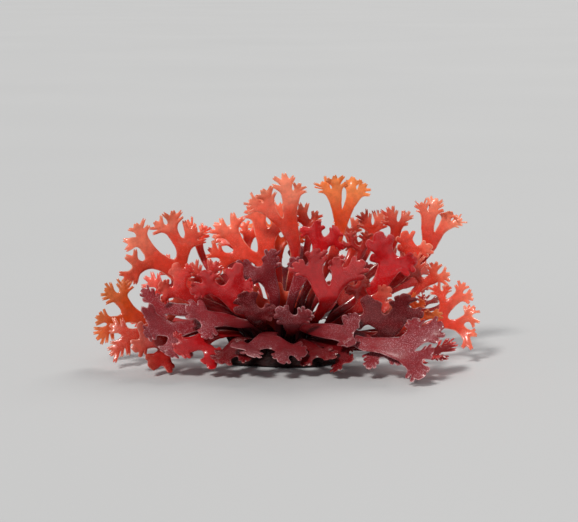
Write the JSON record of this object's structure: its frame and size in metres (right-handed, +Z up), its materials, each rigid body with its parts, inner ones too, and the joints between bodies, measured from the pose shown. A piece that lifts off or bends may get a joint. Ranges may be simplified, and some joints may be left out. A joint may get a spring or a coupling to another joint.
{
  "type": "irish moss seaweed",
  "caption": "Bushy tuft of a red seaweed: flat forking fronds with fan-like finger tips above and broad lobed blades below, all growing from one low dark crust with a flat bottom.",
  "frame": {"origin": "middle of the crust's flat bottom, at the level that the tuft stands on", "axes": "+Z up; +X along the tuft's greatest width, to the right seen from its front; -Y out of its front"},
  "size_m": [0.1831, 0.1289, 0.0895],
  "materials": {
    "crust": "rough, near-black maroon",
    "plum_frond": "moist, plum with a lavender grey bloom",
    "maroon_frond": "moist, dark maroon with a grey bloom",
    "crimson_frond": "moist, translucent crimson",
    "coral_frond": "moist, translucent coral red",
    "salmon_frond": "moist, translucent salmon orange",
    "amber_frond": "moist, translucent amber"
  },
  "bodies": {
    "root": {"basal_crust": "crust", "right_front_low": "plum_frond", "right_front_sweep": "plum_frond", "middle_low": "plum_frond", "left_broad": "plum_frond", "left_middle_sweep": "plum_frond", "rear_low_left": "plum_frond", "rear_low_right": "plum_frond", "middle_cup": "plum_frond", "middle_right_reach": "plum_frond", "middle_upper_grey": "plum_frond", "middle_grey_curl": "plum_frond", "left_upper_palm": "plum_frond", "rear_middle_hand": "plum_frond", "right_front_palm": "maroon_frond", "middle_right_low": "maroon_frond", "front_right_small": "maroon_frond", "front_left_small": "maroon_frond", "rear_low_middle": "maroon_frond", "middle_dark_lobes": "maroon_frond", "right_low_curl": "crimson_frond", "left_low_maroon": "crimson_frond", "rear_low_far_right": "crimson_frond", "middle_trunk": "crimson_frond", "middle_left_hand": "crimson_frond", "upper_middle_palm": "crimson_frond", "right_broad_stem": "crimson_frond", "rear_left_hand": "crimson_frond", "rear_right_hand": "crimson_frond", "left_low_red": "coral_frond", "rear_low_far_left": "coral_frond", "rear_right_edge": "coral_frond", "inner_right": "coral_frond", "left_inner": "coral_frond", "right_middle_leaf": "coral_frond", "upper_right_cluster": "coral_frond", "left_middle_leaf": "coral_frond", "left_narrow_stem": "coral_frond", "rear_left_fan": "coral_frond", "rear_right_fan": "coral_frond", "inner_bright": "salmon_frond", "right_hook": "salmon_frond", "right_inner_stem": "salmon_frond", "top_right": "salmon_frond", "right_upper_leaf": "salmon_frond", "top_left": "salmon_frond", "top_left_narrow": "salmon_frond", "upper_left_fan": "salmon_frond", "top_middle": "salmon_frond", "upper_fork": "salmon_frond", "upper_right_fork": "salmon_frond", "upper_right_thin": "salmon_frond", "left_long_tips": "salmon_frond", "rear_top_left": "salmon_frond", "rear_top_right": "salmon_frond", "right_amber": "amber_frond", "top_right_middle": "amber_frond", "left_amber": "amber_frond", "rear_top_middle": "amber_frond"}
  },
  "joints": []
}
